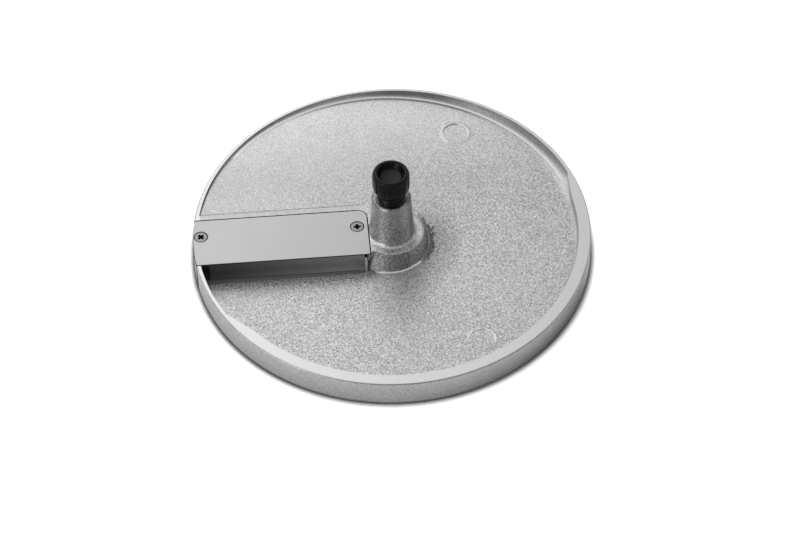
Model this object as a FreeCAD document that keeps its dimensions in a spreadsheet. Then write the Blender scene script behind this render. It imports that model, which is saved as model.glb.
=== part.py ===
import FreeCAD, Part
import math
import os
import Sketcher

# Slicing disc for a vegetable cutter.
# Millimetres. +Z is up and is the axis of rotation. The origin is the centre of the rim's
# underside. The blade lies along X, on the -X side, and its cutting edge faces -Y.

doc = FreeCAD.newDocument("slicing_disc")

SIZES = {
    # Rim, in plan and section
    "rim_radius": 102.5,
    "rim_height": 14.4,
    "rim_land": 2.2,
    "rim_draft": 8.0,
    "rim_edge": 0.6,
    "band_land": 6.3,
    "band_from": -140.5,
    "band_to": 8.5,
    "band_lead": 10.5,
    # Deck, a helical ramp that drops from behind the blade round to the slot
    "deck_thickness": 3.0,
    "deck_corner": 1.5,
    "deck_corner_high": 0.3,
    "deck_slot": 3.0,
    "deck_front_left": 3.5,
    "deck_front": 4.6,
    "deck_front_right": 6.2,
    "deck_back_right": 8.8,
    "deck_back": 11.1,
    "deck_back_left": 12.8,
    "deck_lip": 13.7,
    "rib_width": 3.0,
    "foot_width": 8.5,
    # Hub cone and post
    "hub_top_radius": 16.3,
    "hub_slope": 22.0,
    "hub_edge": 0.6,
    "post_base_radius": 11.6,
    "post_top_radius": 10.1,
    "post_height": 40.3,
    "post_root": 1.8,
    "post_edge": 1.4,
    "bore_radius": 7.0,
    "bore_roof": 2.8,
    "pin_slot_width": 5.0,
    "pin_slot_depth": 6.0,
    # Blade and what it is seated in
    "blade_width": 30.0,
    "blade_thickness": 2.0,
    "blade_tip_inset": 0.3,
    "blade_inner": 12.3,
    "blade_corner": 4.5,
    "blade_gap": 0.45,
    "bevel_length": 4.0,
    "edge_thickness": 0.3,
    "seat_thickness": 5.0,
    "seat_inner": 6.0,
    "lip_width": 3.6,
    "slot_reach": 3.8,
    "slot_inner": 15.0,
    "apron_setback": 1.2,
    "apron_thickness": 4.0,
    "apron_foot": 0.8,
    "web_width": 1.3,
    "web_front": 1.6,
    "web_pocket_floor": 1.8,
    "web_pocket_inner": 8.0,
    # Countersunk screws
    "screw_outer_inset": 4.3,
    "screw_inner": 17.6,
    "screw_side": 4.1,
    "screw_radius": 2.0,
    "screw_length": 9.0,
    "screw_head_radius": 3.3,
    "screw_head_rim": 0.25,
    "screw_clearance": 0.1,
    "screw_tip_room": 0.5,
    "boss_radius": 4.6,
    "recess_reach": 1.9,
    "recess_width": 1.2,
    "recess_depth": 1.7,
    # Knob and its stud
    "knob_foot_radius": 7.3,
    "knob_foot_height": 1.3,
    "knob_neck_radius": 5.9,
    "knob_neck_height": 2.6,
    "knob_taper": 4.6,
    "knob_radius": 9.5,
    "knob_height": 17.9,
    "knob_top_radius": 8.5,
    "knob_top_bevel": 1.2,
    "dish_radius": 7.0,
    "dish_floor_radius": 5.2,
    "dish_depth": 3.4,
    "flute_radius": 1.6,
    "flute_depth": 0.55,
    "stud_radius": 3.0,
    "stud_in_post": 12.0,
    "stud_in_knob": 11.0,
    "stud_clearance": 0.05,
    "stud_tip_room": 0.5,
}

FLUTES = 12
DECK_CELLS = 16
DECK_START = -170.0
DECK_END = 172.0
DECK_STATIONS = (
    (-180.0, "deck_slot"),
    (-150.0, "deck_front_left"),
    (-90.0, "deck_front"),
    (-30.0, "deck_front_right"),
    (30.0, "deck_back_right"),
    (90.0, "deck_back"),
    (150.0, "deck_back_left"),
    (180.0, "deck_lip"),
)
UNDERSIDE = DECK_STATIONS[2:7]
NEAR = 0.01
DECK_FIT = 0.05

dim = doc.addObject("Spreadsheet::Sheet", "dim")
for row, (alias, value) in enumerate(SIZES.items(), start=1):
    dim.set("A%d" % row, alias)
    dim.set("B%d" % row, str(value))
    dim.setAlias("B%d" % row, alias)
doc.recompute()


def size(alias):
    return float(dim.get(alias))


def new_body(name):
    body = doc.addObject("PartDesign::Body", name)
    body.Label = name
    body.Placement = FreeCAD.Placement()
    return body


def new_sketch(body, name, role, lift=None, shift=None, depth=None):
    """Sketch on one of the body's own planes, moved along it or off it by expressions."""
    sketch = body.newObject("Sketcher::SketchObject", name)
    plane = next(f for f in body.Origin.OriginFeatures if f.Role == role)
    sketch.AttachmentSupport = [(plane, "")]
    sketch.MapMode = "FlatFace"
    if shift:
        sketch.setExpression("AttachmentOffset.Base.x", shift)
    if depth:
        sketch.setExpression("AttachmentOffset.Base.y", depth)
    if lift:
        sketch.setExpression("AttachmentOffset.Base.z", lift)
    return sketch


def bind(sketch, constraint, name, expression):
    index = sketch.addConstraint(constraint)
    sketch.renameConstraint(index, name)
    sketch.setExpression("Constraints." + name, expression)


def place_point(sketch, line, end, x, y, name):
    """Hold one end of a line at a distance from the sketch's origin, across and up."""
    at = sketch.getPoint(line, end)
    bind(sketch, Sketcher.Constraint("DistanceX", line, end, at.x), name + "_x", x)
    bind(sketch, Sketcher.Constraint("DistanceY", line, end, at.y), name + "_y", y)


def draw_outline(sketch, corners):
    """Closed outline of straight lines through corners given as pairs of expressions."""
    count = len(corners)
    ring = []
    for i in range(count):
        turn = 2 * math.pi * i / count
        ring.append(FreeCAD.Vector(math.cos(turn), math.sin(turn), 0))
    first = sketch.GeometryCount
    for i in range(count):
        sketch.addGeometry(Part.LineSegment(ring[i], ring[(i + 1) % count]), False)
    for i in range(count):
        following = first + (i + 1) % count
        sketch.addConstraint(Sketcher.Constraint("Coincident", first + i, 2, following, 1))
    for i, (x, y) in enumerate(corners):
        place_point(sketch, first + i, 1, x, y, "p%d" % (first + i))


def draw_circle(sketch, radius, x="0", y="0"):
    index = sketch.GeometryCount
    sketch.addGeometry(Part.Circle(FreeCAD.Vector(1, 1, 0), FreeCAD.Vector(0, 0, 1), 1.0), False)
    bind(sketch, Sketcher.Constraint("DistanceX", index, 3, 1.0), "c%d_x" % index, x)
    bind(sketch, Sketcher.Constraint("DistanceY", index, 3, 1.0), "c%d_y" % index, y)
    bind(sketch, Sketcher.Constraint("Radius", index, 1.0), "c%d_r" % index, radius)


def pad(body, name, sketch, length, down=False, draft=None):
    feature = body.newObject("PartDesign::Pad", name)
    feature.Profile = sketch
    feature.Reversed = down
    feature.setExpression("Length", length)
    if draft:
        feature.setExpression("TaperAngle", draft)
    return feature


def pocket(body, name, sketch, length=None, up=False, middle=False):
    """Cut down through everything, or by a length, or up where the sketch lies below."""
    feature = body.newObject("PartDesign::Pocket", name)
    feature.Profile = sketch
    feature.Reversed = up
    if middle:
        feature.SideType = "Symmetric"
    if length:
        feature.setExpression("Length", length)
    else:
        feature.Type = "ThroughAll"
    return feature


def turn(body, name, sketch, kind="PartDesign::Revolution"):
    feature = body.newObject(kind, name)
    feature.Profile = sketch
    feature.ReferenceAxis = (sketch, ["V_Axis"])
    feature.Angle = 360.0
    return feature


def deck_height(angle):
    """Height of the deck's top at an angle: a smooth curve through the stated heights."""
    stations = [(at, size(alias)) for at, alias in DECK_STATIONS]
    slopes = [(b[1] - a[1]) / (b[0] - a[0]) for a, b in zip(stations, stations[1:])]
    tangents = [slopes[0]]
    for before, after in zip(slopes, slopes[1:]):
        tangents.append((before + after) / 2)
    tangents.append(slopes[-1])
    for i, (a, b) in enumerate(zip(stations, stations[1:])):
        if angle <= b[0]:
            break
    span = b[0] - a[0]
    u = (angle - a[0]) / span
    start = (1 + 2 * u) * (1 - u) ** 2 * a[1] + u * (1 - u) ** 2 * span * tangents[i]
    finish = u * u * (3 - 2 * u) * b[1] + u * u * (u - 1) * span * tangents[i + 1]
    return start + finish


def deck_point_height(x, y):
    """Height of the deck at a place in plan. It is level along each radius.

    Under the blade, where the deck is cut away, and inside the hub, its high and low ends
    run into each other.
    """
    hub_radius = size("hub_top_radius")
    strip = size("blade_width") / 2 * min(1.0, max(0.0, -x / hub_radius))
    if abs(y) < strip:
        angle = math.degrees(math.atan2(strip, x))
        share = (1 + y / strip) / 2
        blend = share * share * (3 - 2 * share)
        height = deck_height(-angle) + (deck_height(angle) - deck_height(-angle)) * blend
    else:
        height = deck_height(math.degrees(math.atan2(y, x)))
    middle = (size("deck_slot") + size("deck_lip")) / 2
    return middle + (height - middle) * min(1.0, math.hypot(x, y) / hub_radius)


def make_deck():
    """Solid disc under one smooth surface through a square grid of heights."""
    reach = size("rim_radius")
    cell = reach / DECK_CELLS
    steps = range(-DECK_CELLS, DECK_CELLS + 1)
    heights = [[deck_point_height(i * cell, j * cell) for j in steps] for i in steps]
    top = Part.BSplineSurface()
    top.interpolate(heights, -reach, cell, -reach, cell)
    column = top.toShape().extrude(FreeCAD.Vector(0, 0, -2 * size("rim_height")))
    disc = Part.makeCylinder(size("rim_radius") - size("rim_land") / 2, size("rim_height"))
    return disc.common(column)


deck = doc.addObject("Part::Feature", "deck_ramp")
deck.Shape = make_deck()
deck.Placement = FreeCAD.Placement()

SEAT_HEIGHT = "(dim.rim_height - dim.blade_thickness)"
HALF_BLADE = "dim.blade_width / 2"
SLOT_EDGE = "-(%s) - dim.slot_reach" % HALF_BLADE
APRON_FACE = "-(%s) + dim.apron_setback" % HALF_BLADE
WEB_FRONT = "-(%s) - dim.web_front" % HALF_BLADE
LIP_EDGE = "%s + dim.lip_width" % HALF_BLADE
BLADE_BACK = "%s + dim.blade_gap" % HALF_BLADE
INNER_WALL = "(dim.rim_radius - dim.rim_land)"
INNER_BAND = "(dim.rim_radius - dim.band_land)"
SCREW_OUTER = "(dim.rim_radius - dim.screw_outer_inset)"
HUB_FOOT_RADIUS = "(dim.hub_top_radius + dim.rim_height * tan(dim.hub_slope * 1deg))"


def make_casting():
    """Disc in one casting: rim, deck, hub with its post, blade seat and slot."""
    body = new_body("disc_casting")
    body.BaseFeature = deck
    doc.recompute()

    window = new_sketch(body, "window_outline", "XY_Plane")
    draw_outline(window, [
        ("-dim.rim_radius", SLOT_EDGE),
        ("-dim.slot_inner", SLOT_EDGE),
        ("-dim.slot_inner", LIP_EDGE),
        ("-dim.rim_radius", LIP_EDGE)])
    pocket(body, "window", window, "dim.rim_height * 2", middle=True)

    hollow = new_sketch(body, "web_pocket_outline", "XY_Plane", lift="dim.web_pocket_floor")
    draw_outline(hollow, [
        ("-dim.slot_inner + dim.web_width", WEB_FRONT),
        ("-dim.web_pocket_inner", WEB_FRONT),
        ("-dim.web_pocket_inner", APRON_FACE),
        ("-dim.slot_inner + dim.web_width", APRON_FACE)])
    pocket(body, "web_pocket", hollow, "dim.rim_height", up=True)

    wall = new_sketch(body, "rim_section", "XZ_Plane")
    draw_outline(wall, [
        (INNER_WALL, "dim.rim_height"),
        ("dim.rim_radius", "dim.rim_height"),
        ("dim.rim_radius", "0"),
        (INNER_WALL + " - dim.rim_height * tan(dim.rim_draft * 1deg)", "0")])
    rim_wall = turn(body, "rim_wall", wall)
    finish_circles(body, "PartDesign::Chamfer", "rim_edges", rim_wall, "rim_edge", (
        (size("rim_radius"), size("rim_height")),
        (size("rim_radius"), 0.0)))

    band = add_wide_band(body)
    doc.recompute()
    change = size("band_to") + size("band_lead")
    low_corner = finish_edges(body, "PartDesign::Chamfer", "deck_corner", band, "deck_corner",
                              deck_corner(band, DECK_START, change))
    doc.recompute()
    finish_edges(body, "PartDesign::Chamfer", "high_corner", low_corner, "deck_corner_high",
                 deck_corner(low_corner, change, DECK_END))

    hub = new_sketch(body, "hub_section", "XZ_Plane")
    draw_outline(hub, [
        ("0", "0"),
        (HUB_FOOT_RADIUS, "0"),
        ("dim.hub_top_radius", "dim.rim_height"),
        ("dim.post_base_radius", "dim.rim_height"),
        ("dim.post_top_radius", "dim.post_height"),
        ("0", "dim.post_height")])
    hub_solid = turn(body, "hub", hub)
    finish_circles(body, "PartDesign::Fillet", "post_root_round", hub_solid, "post_root", (
        (size("post_base_radius"), size("rim_height")),))
    finish_circles(body, "PartDesign::Fillet", "post_edge_round", body.Tip, "post_edge", (
        (size("post_top_radius"), size("post_height")),))
    finish_circles(body, "PartDesign::Chamfer", "hub_edge_bevel", body.Tip, "hub_edge", (
        (size("hub_top_radius"), size("rim_height")),))

    seat = new_sketch(body, "seat_outline", "XY_Plane", lift="dim.rim_height")
    draw_outline(seat, [
        ("-" + INNER_WALL + " + dim.rim_land / 2", APRON_FACE),
        ("-dim.seat_inner", APRON_FACE),
        ("-dim.seat_inner", LIP_EDGE),
        ("-" + INNER_WALL + " + dim.rim_land / 2", LIP_EDGE)])
    pad(body, "seat", seat, "dim.blade_thickness + dim.seat_thickness", down=True)

    apron = new_sketch(body, "apron_outline", "XY_Plane", lift="dim.apron_foot")
    draw_outline(apron, [
        ("-dim.rim_radius + dim.band_land", APRON_FACE),
        ("-dim.slot_inner", APRON_FACE),
        ("-dim.slot_inner", APRON_FACE + " + dim.apron_thickness"),
        ("-dim.rim_radius + dim.band_land", APRON_FACE + " + dim.apron_thickness")])
    pad(body, "apron", apron, SEAT_HEIGHT + " - dim.apron_foot")

    web = new_sketch(body, "web_outline", "XY_Plane", lift=SEAT_HEIGHT)
    draw_outline(web, [
        ("-dim.slot_inner", WEB_FRONT),
        ("-dim.slot_inner + dim.web_width", WEB_FRONT),
        ("-dim.slot_inner + dim.web_width", APRON_FACE + " + dim.apron_thickness"),
        ("-dim.slot_inner", APRON_FACE + " + dim.apron_thickness")])
    pad(body, "web", web, SEAT_HEIGHT + " - dim.apron_foot", down=True)

    boss = new_sketch(body, "boss_outline", "XY_Plane", lift=SEAT_HEIGHT)
    draw_circle(boss, "dim.boss_radius", "-" + SCREW_OUTER + " + dim.screw_radius / 2",
                "dim.screw_side")
    pad(body, "screw_boss", boss, "dim.screw_length", down=True)

    for (start, alias), (end, _) in zip(UNDERSIDE, UNDERSIDE[1:]):
        hollow_out(body, start, end, alias)

    cut_blade_seat(body)

    holes = new_sketch(body, "screw_holes_outline", "XY_Plane", lift=SEAT_HEIGHT)
    draw_circle(holes, "dim.screw_radius", "-" + SCREW_OUTER, "dim.screw_side")
    draw_circle(holes, "dim.screw_radius", "-dim.screw_inner", "dim.screw_side")
    pocket(body, "screw_holes", holes, "dim.screw_length - dim.blade_thickness + dim.screw_tip_room")

    bore = new_sketch(body, "bore_outline", "XY_Plane")
    draw_circle(bore, "dim.bore_radius")
    pocket(body, "spindle_bore", bore,
           "dim.post_height - dim.stud_in_post - dim.stud_tip_room - dim.bore_roof", up=True)

    pin_slot = new_sketch(body, "pin_slot_outline", "XY_Plane")
    draw_outline(pin_slot, [
        ("-dim.hub_top_radius", "-dim.pin_slot_width / 2"),
        ("dim.hub_top_radius", "-dim.pin_slot_width / 2"),
        ("dim.hub_top_radius", "dim.pin_slot_width / 2"),
        ("-dim.hub_top_radius", "dim.pin_slot_width / 2")])
    pocket(body, "drive_pin_slot", pin_slot, "dim.pin_slot_depth", up=True)

    stud_hole = new_sketch(body, "stud_hole_outline", "XY_Plane", lift="dim.post_height")
    draw_circle(stud_hole, "dim.stud_radius + dim.stud_clearance")
    pocket(body, "stud_hole", stud_hole, "dim.stud_in_post + dim.stud_tip_room")
    return body


def finish_edges(body, kind, name, base, alias, edges):
    """Fillet or chamfer of a size in the sheet along edges of an earlier feature."""
    feature = body.newObject(kind, name)
    feature.Base = (base, edges)
    feature.setExpression("Radius" if kind.endswith("Fillet") else "Size", "dim." + alias)
    return feature


def finish_circles(body, kind, name, base, alias, circles):
    """Fillet or chamfer of the full circles about Z that have the given radii and heights."""
    doc.recompute()
    edges = []
    for number, edge in enumerate(base.Shape.Edges, start=1):
        if not hasattr(edge.Curve, "Radius"):
            continue
        for circle_radius, height in circles:
            at_height = abs(edge.Curve.Center.z - height) < NEAR
            if at_height and abs(edge.Curve.Radius - circle_radius) < NEAR:
                edges.append("Edge%d" % number)
    if not edges:
        raise RuntimeError("no circle to finish for " + name)
    return finish_edges(body, kind, name, base, alias, edges)


def deck_corner(feature, first, last):
    """Names of the edges where the deck meets the rim's wall, between two angles."""
    floor_radius = (size("rim_radius") - size("band_land")
                    - size("rim_height") * math.tan(math.radians(size("rim_draft"))))
    names = []
    for number, edge in enumerate(feature.Shape.Edges, start=1):
        middle = edge.valueAt((edge.FirstParameter + edge.LastParameter) / 2)
        angle = math.degrees(math.atan2(middle.y, middle.x))
        outside = math.hypot(middle.x, middle.y) > floor_radius - NEAR
        if outside and first < angle < last and abs(middle.z - deck_height(angle)) < DECK_FIT:
            names.append("Edge%d" % number)
    return names


def add_wide_band(body):
    """Wide land of the rim round the low part of the deck: it runs out in straight lines."""
    band = new_sketch(body, "band_outline", "XY_Plane", lift="dim.rim_height")
    start = math.radians(size("band_from"))
    end = math.radians(size("band_to"))
    inner_radius = size("rim_radius") - size("band_land")
    outer_radius = size("rim_radius") - size("rim_land")
    lead = math.radians(size("band_lead"))

    def on_circle(radius, angle):
        return FreeCAD.Vector(radius * math.cos(angle), radius * math.sin(angle), 0)

    def arc(radius, low, high):
        circle = Part.Circle(FreeCAD.Vector(0, 0, 0), FreeCAD.Vector(0, 0, 1), radius)
        return Part.ArcOfCircle(circle, low, high)

    corners = (
        on_circle(inner_radius, end),
        on_circle(outer_radius, end + lead),
        on_circle(outer_radius, start - lead),
        on_circle(inner_radius, start))
    inner = band.addGeometry(arc(inner_radius, start, end), False)
    lead_out = band.addGeometry(Part.LineSegment(corners[0], corners[1]), False)
    outer = band.addGeometry(arc(outer_radius, start - lead, end + lead), False)
    lead_in = band.addGeometry(Part.LineSegment(corners[2], corners[3]), False)
    for curve in (inner, outer):
        band.addConstraint(Sketcher.Constraint("Coincident", curve, 3, -1, 1))
    band.addConstraint(Sketcher.Constraint("Coincident", inner, 2, lead_out, 1))
    band.addConstraint(Sketcher.Constraint("Coincident", inner, 1, lead_in, 2))
    band.addConstraint(Sketcher.Constraint("Coincident", lead_out, 2, outer, 2))
    band.addConstraint(Sketcher.Constraint("Coincident", lead_in, 1, outer, 1))
    bind(band, Sketcher.Constraint("Radius", inner, inner_radius), "inner_radius",
         INNER_BAND)
    bind(band, Sketcher.Constraint("Radius", outer, outer_radius), "outer_radius",
         INNER_WALL)
    ends = (
        ("lead_out_inner", lead_out, 1, INNER_BAND, "dim.band_to"),
        ("lead_out_outer", lead_out, 2, INNER_WALL, "dim.band_to + dim.band_lead"),
        ("lead_in_outer", lead_in, 1, INNER_WALL, "dim.band_from - dim.band_lead"),
        ("lead_in_inner", lead_in, 2, INNER_BAND, "dim.band_from"))
    for name, line, point, radius, angle in ends:
        bind(band, Sketcher.Constraint("DistanceY", line, point, band.getPoint(line, point).y),
             name, "%s * sin((%s) * 1deg)" % (radius, angle))
    return pad(body, "wide_band", band, "dim.rim_height", down=True,
               draft="dim.rim_draft * 1deg")


def hollow_out(body, start, end, lowest):
    """Pocket from below between two ribs, with a level floor under the deck's lowest point."""
    outline = new_sketch(body, lowest + "_hollow_outline", "XY_Plane")
    turn_start = math.radians(start)
    turn_end = math.radians(end)
    cone_spread = size("rim_height") * math.tan(math.radians(size("hub_slope")))
    inner_radius = size("hub_top_radius") + cone_spread
    outer_radius = size("rim_radius") - size("foot_width")
    rib_side = size("rib_width") / 2

    def corner(radius, angle, side):
        lean = angle + side * math.asin(rib_side / radius)
        return FreeCAD.Vector(radius * math.cos(lean), radius * math.sin(lean), 0)

    def arc(radius):
        lean = math.asin(rib_side / radius)
        circle = Part.Circle(FreeCAD.Vector(0, 0, 0), FreeCAD.Vector(0, 0, 1), radius)
        return Part.ArcOfCircle(circle, turn_start + lean, turn_end - lean)

    inner = outline.addGeometry(arc(inner_radius), False)
    outer = outline.addGeometry(arc(outer_radius), False)
    first = outline.addGeometry(Part.LineSegment(
        corner(inner_radius, turn_start, 1), corner(outer_radius, turn_start, 1)), False)
    last = outline.addGeometry(Part.LineSegment(
        corner(inner_radius, turn_end, -1), corner(outer_radius, turn_end, -1)), False)
    for curve in (inner, outer):
        outline.addConstraint(Sketcher.Constraint("Coincident", curve, 3, -1, 1))
    outline.addConstraint(Sketcher.Constraint("Coincident", inner, 1, first, 1))
    outline.addConstraint(Sketcher.Constraint("Coincident", outer, 1, first, 2))
    outline.addConstraint(Sketcher.Constraint("Coincident", inner, 2, last, 1))
    outline.addConstraint(Sketcher.Constraint("Coincident", outer, 2, last, 2))
    bind(outline, Sketcher.Constraint("Radius", inner, inner_radius), "hub_side", HUB_FOOT_RADIUS)
    bind(outline, Sketcher.Constraint("Radius", outer, outer_radius), "rim_side",
         "dim.rim_radius - dim.foot_width")
    for line, angle, name in ((first, turn_start, "first"), (last, turn_end, "last")):
        outline.addConstraint(Sketcher.Constraint("Angle", line, angle))
        bind(outline, Sketcher.Constraint("Distance", -1, 1, line, rib_side), name + "_rib_side",
             "dim.rib_width / 2")
    pocket(body, lowest + "_hollow", outline, "dim.%s - dim.deck_thickness" % lowest, up=True)


def cut_blade_seat(body):
    """Recess for the blade, open at the rim and at the cutting edge."""
    recess = new_sketch(body, "blade_recess_outline", "XY_Plane", lift=SEAT_HEIGHT)
    draw_outline(recess, [
        ("-dim.rim_radius - dim.blade_gap", "-(%s) - dim.blade_gap" % HALF_BLADE),
        ("-dim.blade_inner + dim.blade_gap", "-(%s) - dim.blade_gap" % HALF_BLADE),
        ("-dim.blade_inner + dim.blade_gap", BLADE_BACK),
        ("-dim.rim_radius - dim.blade_gap", BLADE_BACK)])
    cut = pocket(body, "blade_recess", recess, "dim.blade_thickness * 2", up=True)
    doc.recompute()

    corner_x = size("blade_gap") - size("blade_inner")
    corner_y = size("blade_width") / 2 + size("blade_gap")
    corner_edge = find_edge(cut, lambda p: abs(p.x - corner_x) < NEAR and abs(p.y - corner_y) < NEAR)
    corner = finish_edges(body, "PartDesign::Fillet", "recess_corner", cut, "blade_corner",
                          [corner_edge])
    corner.setExpression("Radius", "dim.blade_corner + dim.blade_gap")


def make_blade():
    """Flat steel blade: its outer end follows the rim and its cutting edge is ground below."""
    body = new_body("blade")
    plan = new_sketch(body, "blade_outline", "XY_Plane", lift=SEAT_HEIGHT)
    half = size("blade_width") / 2
    tip_radius = size("rim_radius") - size("blade_tip_inset")
    inner = -size("blade_inner")
    tip = math.asin(half / tip_radius)
    tip_x = -tip_radius * math.cos(tip)
    circle = Part.Circle(FreeCAD.Vector(0, 0, 0), FreeCAD.Vector(0, 0, 1), tip_radius)
    front = plan.addGeometry(Part.LineSegment(
        FreeCAD.Vector(tip_x, -half, 0), FreeCAD.Vector(inner, -half, 0)), False)
    end = plan.addGeometry(Part.LineSegment(
        FreeCAD.Vector(inner, -half, 0), FreeCAD.Vector(inner, half, 0)), False)
    back = plan.addGeometry(Part.LineSegment(
        FreeCAD.Vector(inner, half, 0), FreeCAD.Vector(tip_x, half, 0)), False)
    arc = plan.addGeometry(Part.ArcOfCircle(circle, math.pi - tip, math.pi + tip), False)
    plan.addConstraint(Sketcher.Constraint("Coincident", arc, 3, -1, 1))
    plan.addConstraint(Sketcher.Constraint("Coincident", front, 2, end, 1))
    plan.addConstraint(Sketcher.Constraint("Coincident", end, 2, back, 1))
    plan.addConstraint(Sketcher.Constraint("Coincident", back, 2, arc, 1))
    plan.addConstraint(Sketcher.Constraint("Coincident", arc, 2, front, 1))
    plan.addConstraint(Sketcher.Constraint("Horizontal", front))
    plan.addConstraint(Sketcher.Constraint("Vertical", end))
    plan.addConstraint(Sketcher.Constraint("Horizontal", back))
    bind(plan, Sketcher.Constraint("Radius", arc, tip_radius), "tip_radius",
         "dim.rim_radius - dim.blade_tip_inset")
    bind(plan, Sketcher.Constraint("DistanceX", end, 1, inner), "inner_end", "-dim.blade_inner")
    bind(plan, Sketcher.Constraint("DistanceY", end, 1, -half), "front_edge", "-" + HALF_BLADE)
    bind(plan, Sketcher.Constraint("DistanceY", end, 2, half), "back_edge", HALF_BLADE)
    plate = pad(body, "plate", plan, "dim.blade_thickness")
    doc.recompute()

    corner_edge = find_edge(plate, lambda p: p.x > inner - NEAR and p.y > half - NEAR)
    finish_edges(body, "PartDesign::Fillet", "inner_corner", plate, "blade_corner", [corner_edge])

    bevel = new_sketch(body, "bevel_section", "YZ_Plane")
    draw_outline(bevel, [
        ("-(%s)" % HALF_BLADE, SEAT_HEIGHT + " - dim.blade_thickness"),
        ("-(%s) + dim.bevel_length" % HALF_BLADE, SEAT_HEIGHT + " - dim.blade_thickness"),
        ("-(%s) + dim.bevel_length" % HALF_BLADE, SEAT_HEIGHT),
        ("-(%s)" % HALF_BLADE, "dim.rim_height - dim.edge_thickness"),
        ("-(%s) - dim.bevel_length" % HALF_BLADE, "dim.rim_height - dim.edge_thickness"),
        ("-(%s) - dim.bevel_length" % HALF_BLADE, SEAT_HEIGHT + " - dim.blade_thickness")])
    pocket(body, "ground_bevel", bevel, "dim.rim_radius * 3", middle=True)

    sink = new_sketch(body, "countersink_section", "XZ_Plane",
                      shift="-" + SCREW_OUTER, lift="-dim.screw_side", depth="dim.rim_height")
    below = "-dim.blade_thickness - dim.screw_tip_room"
    draw_outline(sink, [
        ("0", "dim.screw_clearance"),
        ("dim.screw_head_radius + dim.screw_head_rim + 3 * dim.screw_clearance",
         "dim.screw_clearance"),
        ("dim.screw_radius + dim.screw_clearance",
         "dim.screw_radius - dim.screw_head_radius - dim.screw_head_rim - dim.screw_clearance"),
        ("dim.screw_radius + dim.screw_clearance", below),
        ("0", below)])
    groove = turn(body, "countersink", sink, "PartDesign::Groove")
    repeat_along_blade(body, groove, plan)
    return body


def find_edge(feature, test):
    """Name of the one edge whose middle passes a test."""
    for number, edge in enumerate(feature.Shape.Edges, start=1):
        middle = edge.valueAt((edge.FirstParameter + edge.LastParameter) / 2)
        if test(middle):
            return "Edge%d" % number
    raise RuntimeError("no such edge on " + feature.Label)


def repeat_along_blade(body, feature, sketch):
    """Second copy of a feature at the blade's inner screw."""
    pattern = body.newObject("PartDesign::LinearPattern", feature.Name + "_pair")
    pattern.Originals = [feature]
    pattern.Direction = (sketch, ["H_Axis"])
    pattern.setExpression("Length", SCREW_OUTER + " - dim.screw_inner")
    pattern.Occurrences = 2
    body.Tip = pattern
    return pattern


def make_screws():
    """Two alike countersunk screws with a cross recess."""
    body = new_body("blade_screws")
    body.AllowCompound = True
    top = "-dim.screw_clearance"
    half = new_sketch(body, "screw_section", "XZ_Plane",
                      shift="-" + SCREW_OUTER, lift="-dim.screw_side", depth="dim.rim_height")
    draw_outline(half, [
        ("0", top),
        ("dim.screw_head_radius", top),
        ("dim.screw_head_radius", top + " - dim.screw_head_rim"),
        ("dim.screw_radius - dim.screw_clearance / 2",
         top + " - dim.screw_head_rim - (dim.screw_head_radius - dim.screw_radius)"),
        ("dim.screw_radius - dim.screw_clearance / 2", top + " - dim.screw_length"),
        ("0", top + " - dim.screw_length")])
    solid = turn(body, "screw", half)
    cross = new_sketch(body, "cross_recess_outline", "XY_Plane", lift="dim.rim_height + " + top,
                       shift="-" + SCREW_OUTER, depth="dim.screw_side")
    reach = "dim.recess_reach"
    side = "dim.recess_width / 2"
    draw_outline(cross, [
        (side, side), (reach, side), (reach, "-" + side), (side, "-" + side),
        (side, "-" + reach), ("-" + side, "-" + reach), ("-" + side, "-" + side),
        ("-" + reach, "-" + side), ("-" + reach, side), ("-" + side, side),
        ("-" + side, reach), (side, reach)])
    recess = pocket(body, "cross_recess", cross, "dim.recess_depth")
    pattern = body.newObject("PartDesign::LinearPattern", "screw_pair")
    pattern.Originals = [solid, recess]
    pattern.Direction = (cross, ["H_Axis"])
    pattern.setExpression("Length", SCREW_OUTER + " - dim.screw_inner")
    pattern.Occurrences = 2
    body.Tip = pattern
    return body


def make_knob():
    """Moulded knob with a flared foot, a fluted head and a dished top."""
    body = new_body("knob")
    foot = "dim.post_height"
    half = new_sketch(body, "knob_section", "XZ_Plane", depth=foot)
    shoulder = "dim.knob_neck_height + dim.knob_taper"
    draw_outline(half, [
        ("dim.stud_radius + dim.stud_clearance", "0"),
        ("dim.knob_foot_radius", "0"),
        ("dim.knob_foot_radius", "dim.knob_foot_height / 2"),
        ("dim.knob_neck_radius", "dim.knob_foot_height + dim.knob_foot_height / 2"),
        ("dim.knob_neck_radius", "dim.knob_neck_height"),
        ("dim.knob_radius", shoulder),
        ("dim.knob_radius", "dim.knob_height - dim.knob_top_bevel"),
        ("dim.knob_top_radius", "dim.knob_height"),
        ("dim.dish_radius", "dim.knob_height"),
        ("dim.dish_floor_radius", "dim.knob_height - dim.dish_depth"),
        ("0", "dim.knob_height - dim.dish_depth"),
        ("0", "dim.stud_in_knob"),
        ("dim.stud_radius + dim.stud_clearance", "dim.stud_in_knob")])
    turn(body, "knob_body", half)
    doc.recompute()

    cutter = new_sketch(body, "flute_outline", "XY_Plane", lift=foot + " + dim.knob_neck_height")
    draw_circle(cutter, "dim.flute_radius",
                "dim.knob_radius + dim.flute_radius - dim.flute_depth")
    flute = pocket(body, "flute", cutter, "dim.knob_height - dim.knob_neck_height", up=True)
    pattern = body.newObject("PartDesign::PolarPattern", "flutes")
    pattern.Originals = [flute]
    pattern.Axis = (cutter, ["N_Axis"])
    pattern.Angle = 360.0
    pattern.Occurrences = FLUTES
    body.Tip = pattern
    return body


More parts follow.
